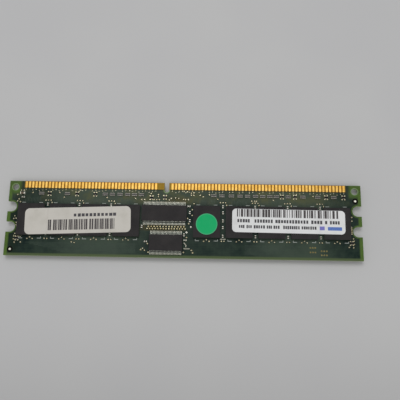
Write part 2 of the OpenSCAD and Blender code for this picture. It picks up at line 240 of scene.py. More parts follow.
# ---------------------------------------------------------------- materials

def tint(red, green, blue):
    """A colour given as 0 to 255, turned into Blender's linear values."""
    def linear(v):
        v /= 255
        return v / 12.92 if v <= 0.04045 else ((v + 0.055) / 1.055) ** 2.4
    return (linear(red), linear(green), linear(blue), 1.0)


class Look:
    """A material under construction: a Principled shader and short calls for the nodes that feed it."""

    def __init__(self, name, **sockets):
        self.material = bpy.data.materials.new(name)
        self.material.use_nodes = True
        self.tree = self.material.node_tree
        self.shader = self.tree.nodes["Principled BSDF"]
        for socket, value in sockets.items():
            self.shader.inputs[socket.replace("_", " ")].default_value = value
        self.coordinates = self.node("ShaderNodeTexCoord").outputs["Object"]

    def node(self, kind, settings=None, **inputs):
        """Adds a node. Inputs go by name, or by i and a number, each a value or a node's output."""
        made = self.tree.nodes.new(kind)
        for key, value in (settings or {}).items():
            setattr(made, key, value)
        for key, value in inputs.items():
            socket = made.inputs[int(key[1:]) if key[0] == "i" and key[1:].isdigit() else key]
            if isinstance(value, bpy.types.NodeSocket):
                self.tree.links.new(value, socket)
            else:
                socket.default_value = value
        return made

    def math(self, operation, a, b=0.0):
        return self.node("ShaderNodeMath", {"operation": operation}, i0=a, i1=b).outputs[0]

    def times(self, a, b):
        return self.math("MULTIPLY", a, b)

    def most(self, a, b):
        return self.math("MAXIMUM", a, b)

    def size_of(self, value):
        return self.math("ABSOLUTE", value)

    def off(self, value, centre):
        """How far a value is from centre millimetres, to either side."""
        return self.size_of(self.math("SUBTRACT", value, centre * MM))

    def distance(self, vector, point):
        made = self.node("ShaderNodeVectorMath", {"operation": "DISTANCE"}, i0=vector, i1=point)
        return made.outputs["Value"]

    def axis(self, name):
        return self.node("ShaderNodeSeparateXYZ", i0=self.coordinates).outputs[name]

    def depth(self):
        """How far in from the contact edge, in metres."""
        return self.math("SUBTRACT", EDGE_Y, self.axis("Y"))

    def flatness(self):
        """1 on faces that lie flat, and 0 on upright ones."""
        normal = self.node("ShaderNodeNewGeometry").outputs["Normal"]
        return self.size_of(self.node("ShaderNodeSeparateXYZ", i0=normal).outputs["Z"])

    def stretched(self, x, y, z):
        return self.node("ShaderNodeMapping", Vector=self.coordinates, Scale=(x, y, z)).outputs[0]

    def noise(self, size, detail=3.0, vector=None):
        """Noise whose patches are about size millimetres across."""
        made = self.node("ShaderNodeTexNoise", Vector=vector or self.coordinates, Scale=1 / (size * MM),
                         Detail=detail, Roughness=0.55)
        return made.outputs["Fac"]

    def cells(self, size):
        """Grains that are about size millimetres across."""
        made = self.node("ShaderNodeTexVoronoi", Vector=self.coordinates, Scale=1 / (size * MM))
        return made.outputs["Distance"]

    def wave(self, size, direction, distortion=0.0):
        """Bands whose spacing is about size millimetres."""
        made = self.node("ShaderNodeTexWave", {"bands_direction": direction}, Vector=self.coordinates,
                         Scale=math.pi / (10 * size * MM), Distortion=distortion)
        return made.outputs["Fac"]

    def ramp(self, value, low, high, from_value=0.0, to_value=1.0):
        """Goes smoothly from from_value to to_value as value goes from low to high."""
        settings = {"clamp": True, "interpolation_type": "SMOOTHSTEP"}
        made = self.node("ShaderNodeMapRange", settings, Value=value)
        ends = {"From Min": low, "From Max": high, "To Min": from_value, "To Max": to_value}
        for key, number in ends.items():
            made.inputs[key].default_value = number
        return made.outputs[0]

    def fade(self, value, start, end, first=1.0, last=0.0):
        """Goes smoothly from first to last as value goes from start to end millimetres."""
        return self.ramp(value, start * MM, end * MM, first, last)

    def vary(self, socket, value, low, high):
        """Lets a noise drive a socket between two values."""
        self.set(socket, self.ramp(value, 0.3, 0.7, low, high))

    def blend(self, factor, a, b):
        made = self.node("ShaderNodeMix", {"data_type": "RGBA"})
        for index, value in ((0, factor), (6, a), (7, b)):
            if isinstance(value, bpy.types.NodeSocket):
                self.tree.links.new(value, made.inputs[index])
            else:
                made.inputs[index].default_value = value
        return made.outputs[2]

    def bump(self, height, strength, distance):
        """Relief, with its depth in millimetres. Calls add up."""
        made = self.node("ShaderNodeBump", Height=height, Strength=strength, Distance=distance * MM)
        linked = self.shader.inputs["Normal"].links
        if linked:
            self.tree.links.new(linked[0].from_socket, made.inputs["Normal"])
        self.tree.links.new(made.outputs[0], self.shader.inputs["Normal"])

    def set(self, socket, value):
        self.tree.links.new(value, self.shader.inputs[socket])


def patch(look, x, depth, x_fade, depth_fade):
    """1 in a soft box round a point. Each fade says how far from the point it starts and ends."""
    across = look.fade(look.off(look.depth(), depth), *depth_fade)
    return look.times(across, look.fade(look.off(look.axis("X"), x), *x_fade))


def fan_out(look):
    """1 in the two crowded patches of copper beside the register, which show brown through the mask."""
    _, right, top, bottom = extent("register_front_leads")
    strip = patch(look, right - 8.2, bottom + 1.4, (7.5, 9.5), (0.9, 1.5))
    corner = patch(look, right - 2.5, top - 1.2, (2.5, 6.0), (0.6, 1.6))
    return look.times(look.most(strip, corner), look.ramp(look.noise(1.5, 3.0), 0.3, 0.6))


def glass_cloth(look):
    """The weave of the glass cloth under the surface, as a value from 0 to 1."""
    return look.times(look.wave(0.55, "X", 0.6), look.wave(0.62, "Y", 0.6))


def near(look, x, y, radius, soft=0.3):
    """1 within radius millimetres of a point and of its mirror image at the other end, fading to 0."""
    mirrored = look.node("ShaderNodeCombineXYZ", X=look.size_of(look.axis("X")), Y=look.axis("Y"))
    return look.fade(look.distance(mirrored.outputs[0], (x, y, 0.0)), radius - soft, radius + soft)


def copper_edge(look):
    """1 where the copper planes stop short of the board's outline, notches and holes, and 0 inside them."""
    x = look.size_of(look.axis("X"))
    border = look.fade(x, HALF_LENGTH - 1.6, HALF_LENGTH - 0.9, 0.0, 1.0)
    corner = look.times(look.fade(x, HALF_LENGTH - 5.2, HALF_LENGTH - 3.6, 0.0, 1.0),
                        look.ramp(look.axis("Y"), EDGE_Y - 6.0 * MM, EDGE_Y - 3.6 * MM))
    border = look.most(border, corner)
    for mount in frame["record"]["mounts"]:
        if mount["name"] in ("latch_upper_right", "latch_lower_right"):
            border = look.most(border, near(look, mount["pos_m"][0], mount["pos_m"][1], 2.45))
    return look.times(border, look.ramp(look.noise(2.5, 3.0), 0.25, 0.6, 0.72, 1.0))


def painted_light_band(look, centre, half_width):
    """A soft band of painted light across the board, 1 at its centre, in millimetres along X."""
    return look.fade(look.off(look.axis("X"), centre), 0.3 * half_width, half_width)


def mask_tones_and_sheen(look):
    """The mask's colour: dark where the copper planes show through, with lighter patches of painted sheen and
    two broad bands of painted light.
    """
    # painted sheen in lighter patches, and painted light in two broad bands across the board
    patches = look.ramp(look.noise(11.0, 2.0), 0.42, 0.62, 0.0, 0.3)
    bands = look.most(painted_light_band(look, -31.0, 24.0), painted_light_band(look, 41.0, 22.0))
    bands = look.times(bands, look.ramp(look.noise(7.0, 3.0), 0.25, 0.6, 0.6, 1.0))
    colour = look.blend(look.most(patches, bands), tint(12, 30, 30), tint(64, 76, 66))
    cloudy = look.ramp(look.noise(2.2, 4.0), 0.35, 0.7)
    return look.blend(look.times(cloudy, 0.3), colour, tint(60, 76, 62))


def mask_near_contacts(look, colour, inner):
    """Greyer towards the contacts, with olive clouds."""
    upper = look.times(look.ramp(look.axis("Y"), EDGE_Y - 9.5 * MM, EDGE_Y - 6.5 * MM), inner)
    colour = look.blend(look.times(upper, 0.55), colour, tint(76, 86, 72))
    olive = look.times(look.ramp(look.noise(5.0, 2.0), 0.42, 0.66), upper)
    return look.blend(look.times(olive, 0.6), colour, tint(92, 92, 58))


def mask_near_outline(look, colour):
    """A dark tooth at the left, a pale far strip, and green where there is no copper underneath."""
    left = look.fade(look.axis("X"), -63.0, -60.5, 0.6, 0.0)
    left = look.times(left, look.ramp(look.axis("Y"), EDGE_Y - 11 * MM, EDGE_Y - 8 * MM, 1.0, 0.0))
    colour = look.blend(left, colour, tint(14, 30, 20))
    far = look.ramp(look.axis("Y"), BOARD_LOW.y + 0.5 * MM, BOARD_LOW.y + 1.2 * MM, 0.9, 0.0)
    colour = look.blend(far, colour, tint(86, 100, 66))
    return look.blend(look.times(copper_edge(look), 0.75), colour, tint(92, 120, 50))


def mask_look():
    """Solder mask over copper and glass cloth, whose tones and weave show through it, with painted sheen,
    painted light and a painted shade under the contacts.
    """
    look = Look("solder_mask", Specular_IOR_Level=0.08)
    inner = look.fade(look.size_of(look.axis("X")), 40, 62, 1.0, 0.25)
    colour = mask_near_contacts(look, mask_tones_and_sheen(look), inner)
    colour = look.blend(look.times(fan_out(look), 0.55), colour, tint(84, 72, 40))
    colour = mask_near_outline(look, colour)
    start = extent("contacts_front_long")[3]
    # painted shade in a band just under the contacts, along the edge of the mask
    painted_shade = look.times(look.fade(look.depth(), start + 0.3, start + 0.6, 0.7, 0.0), inner)
    colour = look.blend(painted_shade, colour, tint(44, 38, 16))
    weave = glass_cloth(look)
    look.set("Base Color", look.blend(look.times(weave, 0.10), colour, tint(88, 110, 80)))
    look.vary("Roughness", look.noise(3.0, 3.0), 0.27, 0.42)
    look.bump(weave, 0.25, 0.02)
    look.bump(look.noise(0.35, 3.0), 0.2, 0.01)
    return look.material


def laminate_face(look, weave, ends):
    """The bare faces: amber between the contacts, browner in the key gap, green elsewhere."""
    colour = look.blend(weave, tint(150, 114, 22), tint(184, 148, 40))
    colour = look.blend(look.times(look.noise(1.2, 4.0), 0.4), colour, tint(124, 108, 32))
    gap_from, gap_to = extent("contacts_front_short")[1], extent("contacts_front_long")[0]
    reach = (gap_to - gap_from) / 2
    off = look.off(look.axis("X"), (gap_from + gap_to) / 2)
    gap = look.fade(off, reach - 0.1, reach + 0.1, 0.0, 0.85)
    colour = look.blend(gap, colour, look.blend(weave, tint(84, 54, 10), tint(114, 78, 20)))
    return look.blend(ends, colour, look.blend(weave, tint(104, 134, 84), tint(136, 162, 112)))


def laminate_cut(look, fibres, ends):
    """The routed sides: glass plies and loose fibres, paler with painted light through the laminate towards
    its ends.
    """
    sides = look.blend(look.wave(0.18, "Z", 0.4), tint(116, 128, 84), tint(158, 166, 126))
    sides = look.blend(look.times(fibres, 0.4), sides, tint(84, 102, 60))
    # painted light: the sides are paler where light comes through the laminate near the holes and notches
    return look.blend(look.times(ends, 0.6), sides, tint(186, 198, 160))


def laminate_look():
    """Glass laminate, where the mask leaves it bare and where the outline cuts it."""
    look = Look("laminate", Specular_IOR_Level=0.2)
    weave = glass_cloth(look)
    fibres = look.noise(0.12, 3.0, vector=look.stretched(0.25, 0.25, 1.0))
    ends = look.fade(look.size_of(look.axis("X")), HALF_LENGTH - 6, HALF_LENGTH - 5, 0.0, 1.0)
    under = EDGE_Y - extent("contacts_front_long")[3] * MM
    ends = look.most(ends, look.ramp(look.axis("Y"), under - 0.5 * MM, under, 1.0, 0.0))
    cut = look.ramp(look.flatness(), 0.3, 0.7, 1.0, 0.0)
    face, sides = laminate_face(look, weave, ends), laminate_cut(look, fibres, ends)
    look.set("Base Color", look.blend(cut, face, sides))
    look.vary("Roughness", look.noise(0.6, 3.0), 0.42, 0.68)
    look.bump(weave, 0.3, 0.02)
    look.bump(fibres, 0.25, 0.02)
    return look.material


def gold_look():
    """Gold plate, wiped lengthways by the socket, with painted shade along the sides of each contact, where
    it rounds off.
    """
    look = Look("contact_gold", Metallic=1.0)
    wipe = look.noise(0.18, 3.0, vector=look.stretched(1.0, 0.12, 1.0))
    tone = look.blend(look.ramp(look.noise(1.6, 2.0), 0.35, 0.65), tint(232, 184, 88), tint(248, 206, 112))
    tone = look.blend(look.ramp(wipe, 0.58, 0.75, 0.0, 0.4), tone, tint(216, 166, 76))
    first, second = contact_centres("contacts_front_long")[:2]
    offset = look.math("SUBTRACT", look.axis("X"), first * MM)
    away = look.math("PINGPONG", offset, (second - first) / 2 * MM)
    # painted shade along the rounded sides of each contact
    look.set("Base Color", look.blend(look.fade(away, 0.26, 0.48, 0.0, 0.8), tone, tint(150, 92, 22)))
    look.set("Roughness", look.ramp(wipe, 0.3, 0.75, 0.48, 0.62))
    look.bump(wipe, 0.3, 0.006)
    return look.material


def solder_look(name, light, dark, rough, grain, slope=1.0):
    """Mottled metal. Slopes get a painted shade, dark by as much as slope falls below 1."""
    look = Look(name, Metallic=0.9)
    colour = look.blend(look.ramp(look.noise(grain, 3.0), 0.35, 0.68), light, dark)
    if slope < 1.0:
        # painted shade on sloped faces, such as the shoulders of the leads
        painted_shade = look.ramp(look.flatness(), 0.55, 0.97, 1.0 - slope, 0.0)
        colour = look.blend(painted_shade, colour, tint(26, 26, 24))
    look.set("Base Color", colour)
    look.vary("Roughness", look.noise(grain * 0.5, 3.0), rough - 0.1, rough + 0.14)
    look.bump(look.noise(grain * 0.4, 2.0), 0.3, 0.012)
    return look.material


def mould_look(name, base, light):
    """Epoxy moulding compound: near black, with filler grains and faint flow clouds."""
    look = Look(name, Specular_IOR_Level=0.09)
    colour = look.blend(look.ramp(look.noise(4.5, 3.0), 0.32, 0.7), base, light)
    grains = look.ramp(look.cells(0.09), 0.0, 0.5)
    look.set("Base Color", look.blend(look.times(grains, 0.16), colour, tint(96, 92, 92)))
    look.vary("Roughness", look.noise(1.1, 4.0), 0.46, 0.64)
    look.bump(look.noise(0.10, 3.0), 0.35, 0.01)
    return look.material


def ceramic_look(name, base, other, rough, shine=0.4):
    """Fired ceramic or a glassy coat, in two close tones."""
    look = Look(name, Specular_IOR_Level=shine)
    look.set("Base Color", look.blend(look.ramp(look.noise(0.22, 3.0), 0.35, 0.65), base, other))
    look.vary("Roughness", look.noise(0.3, 2.0), rough - 0.08, rough + 0.1)
    look.bump(look.noise(0.08, 2.0), 0.2, 0.006)
    return look.material


def paper_look(name, base, soiled, rough):
    """A coated label: fine fibre tooth and a few faint smudges."""
    look = Look(name, Specular_IOR_Level=0.4, Coat_Weight=0.08, Coat_Roughness=0.3)
    fibre = look.noise(0.16, 3.0, vector=look.stretched(0.4, 1.0, 1.0))
    colour = look.blend(look.ramp(look.noise(6.0, 4.0), 0.45, 0.8, 0.0, 0.7), base, soiled)
    look.set("Base Color", look.blend(look.times(fibre, 0.16), colour, soiled))
    look.vary("Roughness", look.noise(2.0, 3.0), rough - 0.06, rough + 0.1)
    look.bump(fibre, 0.2, 0.01)
    return look.material


def sticker_look():
    """Green paper, paler round its punched rim."""
    look = Look("sticker_green", Specular_IOR_Level=0.2)
    fibre = look.noise(0.16, 3.0)
    x, depth = middle("round_sticker")
    away = look.distance(look.stretched(1.0, 1.0, 0.0), (x * MM, EDGE_Y - depth * MM, 0.0))
    colour = look.blend(look.times(fibre, 0.3), tint(0, 178, 106), tint(10, 160, 96))
    look.set("Base Color", look.blend(look.fade(away, 3.55, 4.0, 0.0, 0.6), colour, tint(110, 184, 148)))
    look.vary("Roughness", look.noise(2.0, 3.0), 0.4, 0.56)
    look.bump(fibre, 0.2, 0.01)
    return look.material


def ink_look(name, base, faded):
    look = Look(name, Roughness=0.55, Specular_IOR_Level=0.3)
    look.set("Base Color", look.blend(look.ramp(look.noise(0.25, 3.0), 0.4, 0.75), base, faded))
    look.bump(look.noise(0.1, 2.0), 0.2, 0.004)
    return look.material


def silicon_look():
    look = Look("silicon", Roughness=0.22, Metallic=0.35)
    look.set("Base Color", look.blend(look.noise(0.9, 3.0), tint(92, 96, 110), tint(128, 124, 134)))
    look.bump(look.noise(0.2, 2.0), 0.1, 0.003)
    return look.material


def trace_look():
    look = Look("covered_copper", Roughness=0.34, Specular_IOR_Level=0.42)
    colour = look.blend(look.ramp(look.noise(3.0, 3.0), 0.35, 0.65), tint(36, 54, 44), tint(52, 70, 56))
    look.set("Base Color", colour)
    look.bump(look.noise(0.3, 2.0), 0.2, 0.006)
    return look.material


def table_look():
    """A plain grey table, with painted shade towards the near side, where the light falls off."""
    look = Look("table", Roughness=0.62, Specular_IOR_Level=0.25)
    cloud = look.ramp(look.noise(60.0, 2.0), 0.3, 0.7)
    colour = look.blend(cloud, tint(196, 196, 197), tint(199, 199, 199))
    # painted shade: the light falls off towards the near side
    look.set("Base Color", look.blend(look.fade(look.axis("Y"), -120, -20), colour, tint(168, 168, 168)))
    look.bump(look.noise(0.8, 3.0), 0.06, 0.02)
    return look.material


MASK = mask_look()
LAMINATE = laminate_look()
GOLD = gold_look()
TIN = solder_look("tinned_leads", tint(176, 178, 168), tint(138, 140, 130), 0.38, 0.5, slope=0.1)
CAP_TIN = solder_look("capacitor_ends", tint(212, 212, 202), tint(176, 176, 166), 0.38, 0.4)
SOLDER = solder_look("solder", tint(196, 194, 176), tint(160, 156, 138), 0.4, 0.35)
PAD_SOLDER = solder_look("pad_solder", tint(178, 176, 162), tint(140, 138, 126), 0.4, 0.35)
VIA = solder_look("via_lands", tint(226, 220, 192), tint(186, 172, 130), 0.4, 0.3)
BRIGHT = solder_look("bright_solder", tint(244, 243, 232), tint(216, 212, 194), 0.5, 0.4)
DULL = solder_look("dull_terminals", tint(164, 160, 150), tint(130, 126, 118), 0.45, 0.3)
GOLD_LAND = solder_look("gold_lands", tint(236, 230, 194), tint(214, 196, 140), 0.45, 0.9)
DULL_GOLD = solder_look("bare_pads", tint(150, 128, 84), tint(116, 94, 60), 0.45, 0.3)
COPPER = solder_look("die_paddle", tint(214, 140, 100), tint(176, 104, 72), 0.35, 0.6)
MOULD = mould_look("mould_compound", tint(29, 28, 29), tint(41, 40, 40))
LOGIC_MOULD = mould_look("logic_mould", tint(33, 32, 33), tint(44, 42, 42))
RESIN = mould_look("bond_resin", tint(22, 22, 23), tint(32, 32, 33))
SUBSTRATE = ceramic_look("package_substrate", tint(48, 78, 44), tint(70, 98, 56), 0.42)
RESISTOR = ceramic_look("resistor_ceramic", tint(92, 92, 88), tint(114, 112, 106), 0.45)
OVERCOAT = ceramic_look("resistor_overcoat", tint(50, 50, 48), tint(68, 66, 64), 0.4, 0.3)
BLACK_OVERCOAT = ceramic_look("black_overcoat", tint(12, 12, 11), tint(20, 20, 18), 0.4, 0.1)
DARK_RING = ceramic_look("plane_clearance", tint(12, 20, 15), tint(20, 30, 23), 0.35, 0.08)
SCORCH = ceramic_look("fiducial_clearance", tint(8, 9, 6), tint(16, 18, 10), 0.5, 0.05)
CAPACITOR = ceramic_look("capacitor_ceramic", tint(82, 68, 54), tint(108, 90, 70), 0.42)
SILICON = silicon_look()
TRACE = trace_look()
GREY_LABEL = paper_look("label_grey", tint(206, 202, 194), tint(188, 184, 174), 0.5)
WHITE_LABEL = paper_look("label_white", tint(232, 233, 233), tint(212, 212, 212), 0.45)
GREEN_LABEL = sticker_look()
BLACK_INK = ink_look("label_ink", tint(62, 58, 59), tint(92, 86, 86))
WORD_INK = ink_look("word_ink", tint(62, 60, 64), tint(94, 92, 96))
PURPLE_INK = ink_look("purple_ink", tint(118, 118, 194), tint(146, 142, 204))
BLUE_INK = ink_look("blue_ink", tint(84, 116, 190), tint(112, 140, 202))
LEGEND = ink_look("legend_ink", tint(172, 178, 172), tint(132, 138, 132))


# ---------------------------------------------------------------- the CAD parts' materials

LOOKS = {
    "laminate": LAMINATE, "solder_mask": MASK, "contact_gold": GOLD, "solder": SOLDER,
    "mould_compound": MOULD, "bond_resin": RESIN, "package_substrate": SUBSTRATE, "silicon": SILICON,
    "lead_tin": TIN, "copper": COPPER, "resistor_ceramic": RESISTOR, "capacitor_ceramic": CAPACITOR,
    "label_grey": GREY_LABEL, "label_white": WHITE_LABEL, "sticker_green": GREEN_LABEL,
}
OWN_LOOKS = {
    "register_front": LOGIC_MOULD, "register_back": LOGIC_MOULD, "clock_driver": LOGIC_MOULD,
    "settings_memory": LOGIC_MOULD, "network_terminals_front": DULL, "network_terminals_back": DULL,
    "capacitor_bands_front": CAP_TIN, "capacitor_bands_back": CAP_TIN, "empty_pads": DULL_GOLD,
    "fiducial_dots": BRIGHT, "filter_capacitor_bands": BRIGHT,
}


def dress_cad_parts():
    for part in frame["record"]["subparts"]:
        mesh = NODES[part["node"]].data
        mesh.materials.clear()
        mesh.materials.append(OWN_LOOKS.get(part["node"], LOOKS[part["material_slot"]]))


# ---------------------------------------------------------------- solder under the parts

def solder_ball_rings(low, high, rings=5, sides=10):
    """A ball flattened between its two pads."""
    cx, cy, cz = (low.x + high.x) / 2, (low.y + high.y) / 2, (low.z + high.z) / 2
    waist, tall, cut_off = (high.x - low.x) / 2, high.z - low.z, 0.68
    made = []
    for k in range(rings):
        t = k / (rings - 1) * 2 - 1
        r = waist * math.sqrt(1 - (cut_off * t) ** 2)
        z = cz + t * tall / 2
        made.append([(cx + r * cos, cy + r * sin, z) for cos, sin in unit_circle(sides)])
    return made


def balls(side):
    bm = bmesh.new()
    for low, high in islands(f"solder_balls_{side}"):
        face_loop(bm, solder_ball_rings(low, high))
    piece = finish_piece(bm, f"reflowed_balls_{side}", SOLDER, smooth=True)
    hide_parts(f"solder_balls_{side}")


def lead_pads(node, back):
    """A pad with sloped sides under the foot of each lead."""
    bm = bmesh.new()
    centre = middle(node.replace("_leads", ""))[1]
    heel, toe, border, high, slope = 0.4, 0.42, 0.035, 0.045, 0.02
    for x0, x1, d0, d1 in flat_islands(node):
        if d1 < centre:
            d0, d1 = d0 - toe, d0 + heel
        else:
            d0, d1 = d1 - heel, d1 + toe
        prism(bm, box_outline(x0 - border, x1 + border, d0, d1), 0.0, high, back, slope)
    finish_piece(bm, f"{node}_pads", PAD_SOLDER)


def fillets(name, node, back, reach, climb, material=SOLDER):
    """A sloped mound of solder round the foot of each end band."""
    bm = bmesh.new()
    for x0, x1, d0, d1 in flat_islands(node):
        prism(bm, box_outline(x0 - reach, x1 + reach, d0 - reach, d1 + reach), 0.0, climb, back, reach * 1.25)
    finish_piece(bm, name, material)


def overcoats(side):
    """The glass coat over the resistors: black on the small networks, grey on the long ones."""
    back = side == "back"
    long, small = bmesh.new(), bmesh.new()
    for low, high in islands(f"resistor_networks_{side}"):
        x0, x1, d0, d1 = flat(low, high)
        top = (BACK_Z - low.z if back else high.z - FRONT_Z) / MM
        if max(x1 - x0, d1 - d0) > LONG_NETWORK:
            outline = box_outline(x0 + 0.12, x1 - 0.12, d0 + 0.26, d1 - 0.26)
            prism(long, outline, top - 0.01, top + 0.03, back, 0.03)
        else:
            outline = box_outline(x0 - 0.06, x1 + 0.06, d0 + 0.1, d1 - 0.1)
            prism(small, outline, top - 0.03, top + 0.03, back, 0.03)
    finish_piece(long, f"network_overcoats_{side}", OVERCOAT)
    finish_piece(small, f"small_overcoats_{side}", BLACK_OVERCOAT)


def small_network_lands(side):
    """The bare lands that reach out from the corners of each small network."""
    bm = bmesh.new()
    half, reach, tuck = 0.24, 0.42, 0.02
    for x0, x1, d0, d1 in flat_islands(f"resistor_networks_{side}"):
        if max(x1 - x0, d1 - d0) > LONG_NETWORK:
            continue
        for x in (x0 + tuck, x1 - tuck):
            for near_edge, far_edge in ((d0 - reach, d0 - tuck), (d1 + tuck, d1 + reach)):
                outline = box_outline(x - half, x + half, near_edge, far_edge)
                prism(bm, outline, 0.0, 0.05, side == "back", 0.03)
    finish_piece(bm, f"small_network_lands_{side}", VIA)


# ---------------------------------------------------------------- vias, traces and legend

# Via lands beside the contacts and round the packages, as x and depth from the contact edge
EDGE_VIAS = [
    (-57.6, 4.5), (-47.4, 4.4), (-45.5, 6.2), (-39.5, 3.4), (-29.2, 6.1), (-20.7, 3.3), (-18.4, 6.2),
    (-12.5, 4.25), (-9.7, 4.6), (-9.7, 5.4), (7.3, 5.2), (9.6, 4.4), (12.8, 6.1), (33.8, 6.2), (48.7, 4.5),
    (3.85, 7.95), (2.8, 3.9), (2.8, 4.7), (3.75, 3.8), (3.75, 4.7), (6.1, 4.7), (-0.05, 3.3), (1.25, 3.35),
    (-62.1, 3.7), (-61.0, 3.7), (-63.4, 5.4), (-62.7, 7.1), (-63.2, 7.9), (-62.1, 8.2),
    (25.6, 6.65), (26.7, 6.65), (27.4, 6.65), (62.9, 12.3), (62.9, 13.7), (-63.7, 13.7), (-64.0, 14.7),
    (-63.1, 14.6), (-62.9, 16.2), (-62.9, 17.1), (-41.6, 23.2), (-40.5, 23.5)]
LOGIC_VIAS = [
    (-16.0, 6.6), (-14.9, 6.6), (-11.2, 6.6), (-10.3, 6.6), (-9.3, 6.6),
    (-5.5, 6.6), (-4.8, 6.0), (-3.2, 5.9), (-2.0, 6.0), (-0.2, 6.4), (0.6, 6.4), (1.7, 6.4),
    (3.25, 10.3), (3.25, 12.5), (1.6, 13.7), (2.0, 15.7), (-15.6, 25.7), (-14.9, 25.2), (-14.2, 25.9),
    (-13.2, 23.4), (-12.8, 26.6), (3.25, 25.7), (3.7, 26.6), (0.3, 26.5), (1.3, 20.9)]
BRIGHT_LANDS = [(2.8, 16.9), (1.25, 19.0)]
# Vias as offsets from a corner group, from a memory package and from a gap between two packages
CORNER_VIAS = [(-0.9, -1.7), (-1.2, -0.8), (1.2, -0.6), (-1.2, 0.4), (-0.8, 1.6), (1.5, 1.5)]
TRIPLET = [(-1.0, 1.2), (0.0, 0.6), (1.0, 1.2)]
GAP_VIAS = [(-1.0, -1.55), (0.0, -1.6), (1.0, -1.55), (1.4, -0.65), (-0.5, 13.1), (0.5, 13.1)]


def triplets():
    """Three vias below each memory package."""
    return [(x + dx, ROW_BOTTOM + dd) for x in CHIP_X for dx, dd in TRIPLET]


def gap_vias():
    """The vias over and under the capacitors between two packages."""
    return [(x + dx, ROW_TOP + dd) for x in GAP_X for dx, dd in GAP_VIAS]


def driver_rows():
    """The two staggered rows of vias between the register and the clock driver."""
    left, _, _, bottom = extent("register_front_leads")
    upper = [(left + 2.0 + i * 1.11, bottom + 1.0) for i in range(13)]
    lower = [(left + 1.55 + i * 1.02, bottom + 1.8) for i in range(15)]
    return upper + lower


def corner_groups():
    """The vias round the small resistor pairs beside the first and the last package."""
    left, right, depth, squeeze = -62.2, 62.6, 22.1, 0.7
    spots = [(left + dx, depth + dd) for dx, dd in CORNER_VIAS]
    return spots + [(right - dx * squeeze, depth + dd) for dx, dd in CORNER_VIAS if dx != 1.2]


def end_column():
    """The run of small vias down the right end, beside the latch notches."""
    return [(62.75, 16.1 + 0.62 * i) for i in range(5)]


def via_lands(name, spots, outer, back=False, material=VIA):
    """Bare lands round the via holes, each inside a dark ring where the plane is cleared."""
    lands, rings = bmesh.new(), bmesh.new()
    land_high, ring_high, clearance = 0.024, 0.006, 0.16
    for x, depth in spots:
        size = outer * random.uniform(0.9, 1.1)
        ring_solid(lands, x, depth, size, size * 0.36, land_high, back)
        ring_solid(rings, x, depth, size + clearance, size * 0.98, ring_high, back)
    finish_piece(lands, name, material)
    finish_piece(rings, f"{name}_clearance", DARK_RING)


def contact_necks(side):
    """The copper neck that leads from each contact under the mask. Most end in a via."""
    back = side == "back"
    bare, covered, vias = bmesh.new(), bmesh.new(), bmesh.new()
    start = extent(f"contacts_{side}_long")[3]
    for bank in ("long", "short"):
        for i, x in enumerate(contact_centres(f"contacts_{side}_{bank}")):
            end = (0.55, 1.05, 0.8)[i % 3]
            ribbon(bare, [(x, start - 0.05), (x, start + 0.22)], 0.32, -0.039, -0.012, back)
            ribbon(covered, [(x, start + 0.14), (x, start + end)], 0.2, *COVERED, back)
            if i % 3 != 1 or random.random() < 0.4:
                ring_solid(vias, x, start + end + 0.15, 0.17, 0.07, 0.018, back, sides=10)
    finish_piece(bare, f"contact_necks_{side}", GOLD)
    finish_piece(covered, f"neck_traces_{side}", TRACE)
    finish_piece(vias, f"neck_vias_{side}", VIA)


def stub_traces(side):
    """Short traces between the row of networks and each memory package."""
    bm = bmesh.new()
    start, pitch, width = ROW_TOP - 0.3, 0.5, 0.13
    for centre in CHIP_X:
        for i in range(-8, 9):
            if abs(abs(i) - 7) < 2:
                continue
            x, lean = centre + i * pitch, i * 0.07
            end = start - random.uniform(1.7, 2.6)
            line = [(x, start), (x, start - 0.6), (x + lean, start - 1.1), (x + lean, end)]
            ribbon(bm, line, width, *COVERED, side == "back")
    finish_piece(bm, f"stub_traces_{side}", TRACE)


def bus_traces(side):
    """The straight address lines along the far strip of the board, each a little shorter than the last."""
    bm = bmesh.new()
    count, pitch, step, width = 9, 0.42, 1.7, 0.14
    for direction, start, end in ((-1, -17.6, -59.0), (1, 23.0, 45.5)):
        for i in range(count):
            depth, stop = ROW_BOTTOM + 2.6 + i * pitch, end - direction * i * step
            ribbon(bm, [(start, depth), (stop, depth)], width, *COVERED, side == "back")
    finish_piece(bm, f"bus_traces_{side}", TRACE)


def legend(side):
    """Printed corner brackets and end bars round the packages."""
    bm = bmesh.new()
    line, sunk, high = 0.22, -0.002, 0.018
    inset, arm, above, below = 0.75, 1.5, 0.95, 0.72

    def bar(x0, x1, d0, d1):
        outline = box_outline(min(x0, x1), max(x0, x1), min(d0, d1), max(d0, d1))
        prism(bm, outline, sunk, high, side == "back")

    for number in range(1, CHIP_COUNT + 1):
        x0, x1, d0, d1 = extent(f"dram_{side}_{number}")
        for x, inward in ((x0 + inset, 1), (x1 - inset, -1)):
            bar(x, x + inward * arm, d1 + above, d1 + above + line)
            bar(x, x + inward * line, d1 + 0.45, d1 + 0.93)
            bar(x + inward * 0.3, x + inward * 1.7, d0 - below, d0 - below + line)
    finish_piece(bm, f"legend_{side}", LEGEND)


def driver_copper():
    """Bare copper: a run and a bar at the right of the clock driver, and a bar in a gap between packages."""
    bm = bmesh.new()
    x, d = extent("clock_driver")[1], middle("clock_driver")[1]
    ribbon(bm, [(x + 0.45, d - 0.1), (x + 1.3, d + 0.75), (x + 1.3, d + 1.6)], 0.36, *COATED)
    ribbon(bm, [(x + 0.45, d + 2.15), (x + 2.75, d + 2.15)], 0.32, *COATED)
    gap, below = GAP_X[3], ROW_BOTTOM + 0.35
    ribbon(bm, [(gap - 1.0, below), (gap + 1.1, below)], 0.3, *COATED)
    finish_piece(bm, "driver_copper", PAD_SOLDER)


